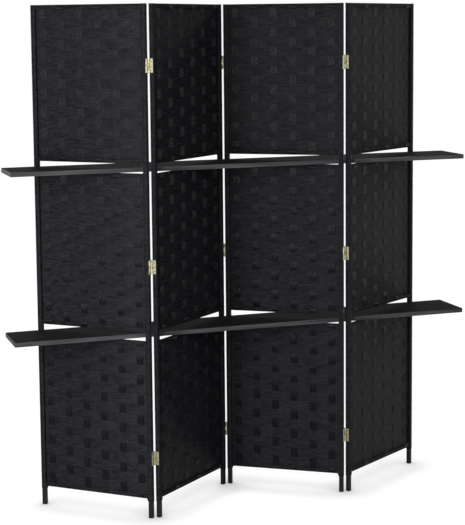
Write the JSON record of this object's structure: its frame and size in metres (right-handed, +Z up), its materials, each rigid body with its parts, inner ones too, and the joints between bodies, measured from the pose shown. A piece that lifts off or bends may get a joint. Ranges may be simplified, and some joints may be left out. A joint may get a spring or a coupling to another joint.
{
  "type": "folding screen with shelves",
  "caption": "Dark folding room screen of woven cord panels set in a zigzag, with two long shelf boards that run through slots in the panels.",
  "frame": {"origin": "middle of the footprint, on the floor", "axes": "+Z up, +X to the right along the shelf boards, -Y towards the viewer of the front"},
  "size_m": [1.7058, 0.3058, 1.8],
  "materials": {
    "frame_wood": "charcoal paint, satin",
    "board_wood": "charcoal paint, satin",
    "woven_cord": "matte twisted paper cord",
    "brass": "plated, satin"
  },
  "bodies": {
    "panel_2": {"post_2_left": "frame_wood", "post_2_right": "frame_wood", "woven_2_lower": "woven_cord", "rail_2_lower_bottom": "frame_wood", "rail_2_lower_top": "frame_wood", "hinge_leaf_2_lower": "brass", "woven_2_middle": "woven_cord", "rail_2_middle_bottom": "frame_wood", "rail_2_middle_top": "frame_wood", "hinge_leaf_2_middle": "brass", "woven_2_upper": "woven_cord", "rail_2_upper_bottom": "frame_wood", "rail_2_upper_top": "frame_wood", "hinge_leaf_2_upper": "brass"},
    "panel_1": {"post_1_left": "frame_wood", "post_1_right": "frame_wood", "woven_1_lower": "woven_cord", "rail_1_lower_bottom": "frame_wood", "rail_1_lower_top": "frame_wood", "woven_1_middle": "woven_cord", "rail_1_middle_bottom": "frame_wood", "rail_1_middle_top": "frame_wood", "woven_1_upper": "woven_cord", "rail_1_upper_bottom": "frame_wood", "rail_1_upper_top": "frame_wood"},
    "panel_3": {"post_3_left": "frame_wood", "post_3_right": "frame_wood", "woven_3_lower": "woven_cord", "rail_3_lower_bottom": "frame_wood", "rail_3_lower_top": "frame_wood", "hinge_leaf_3_lower": "brass", "woven_3_middle": "woven_cord", "rail_3_middle_bottom": "frame_wood", "rail_3_middle_top": "frame_wood", "hinge_leaf_3_middle": "brass", "woven_3_upper": "woven_cord", "rail_3_upper_bottom": "frame_wood", "rail_3_upper_top": "frame_wood", "hinge_leaf_3_upper": "brass"},
    "panel_4": {"post_4_left": "frame_wood", "post_4_right": "frame_wood", "woven_4_lower": "woven_cord", "rail_4_lower_bottom": "frame_wood", "rail_4_lower_top": "frame_wood", "hinge_leaf_4_lower": "brass", "woven_4_middle": "woven_cord", "rail_4_middle_bottom": "frame_wood", "rail_4_middle_top": "frame_wood", "hinge_leaf_4_middle": "brass", "woven_4_upper": "woven_cord", "rail_4_upper_bottom": "frame_wood", "rail_4_upper_top": "frame_wood", "hinge_leaf_4_upper": "brass"},
    "shelf_lower_middle": {"board_lower_middle": "board_wood"},
    "shelf_lower_left": {"board_lower_left": "board_wood"},
    "shelf_lower_right": {"board_lower_right": "board_wood"},
    "shelf_upper_middle": {"board_upper_middle": "board_wood"},
    "shelf_upper_left": {"board_upper_left": "board_wood"},
    "shelf_upper_right": {"board_upper_right": "board_wood"}
  },
  "joints": [
    {"name": "fold_centre", "type": "hinge", "parent": "panel_2", "child": "panel_3", "pos_m": [-0.02563, 0.13266, 0], "axis": [0, 0, 1], "range_deg": [-106, 0]},
    {"name": "fold_left", "type": "hinge", "parent": "panel_2", "child": "panel_1", "pos_m": [-0.38301, -0.14005, 0], "axis": [0, 0, 1], "range_deg": [-98.9, 0]},
    {"name": "fold_right", "type": "hinge", "parent": "panel_3", "child": "panel_4", "pos_m": [0.35747, -0.10254, 0], "axis": [0, 0, 1], "range_deg": [0, 112.91]},
    {"name": "turn_lower", "type": "hinge", "parent": "panel_2", "child": "shelf_lower_middle", "pos_m": [-0.17816, 0.01818, 0.6417], "axis": [0, 0, 1], "range_deg": [-50.1, 0]},
    {"name": "turn_upper", "type": "hinge", "parent": "panel_2", "child": "shelf_upper_middle", "pos_m": [-0.17816, 0.01818, 1.2275], "axis": [0, 0, 1], "range_deg": [-50.1, 0]},
    {"name": "pull_lower_left", "type": "slide", "parent": "shelf_lower_middle", "child": "shelf_lower_left", "axis": [-1, 0, 0], "range_m": [0, 0.6]},
    {"name": "pull_lower_right", "type": "slide", "parent": "shelf_lower_middle", "child": "shelf_lower_right", "axis": [1, 0, 0], "range_m": [0, 0.46]},
    {"name": "pull_upper_left", "type": "slide", "parent": "shelf_upper_middle", "child": "shelf_upper_left", "axis": [-1, 0, 0], "range_m": [0, 0.6]},
    {"name": "pull_upper_right", "type": "slide", "parent": "shelf_upper_middle", "child": "shelf_upper_right", "axis": [1, 0, 0], "range_m": [0, 0.46]}
  ],
  "couplings": [
    {"joint": "fold_left", "follows": "fold_centre", "ratio": 0.93299},
    {"joint": "fold_right", "follows": "fold_centre", "ratio": -1.0651},
    {"joint": "turn_lower", "follows": "fold_centre", "ratio": 0.47265},
    {"joint": "turn_upper", "follows": "fold_centre", "ratio": 0.47265}
  ]
}
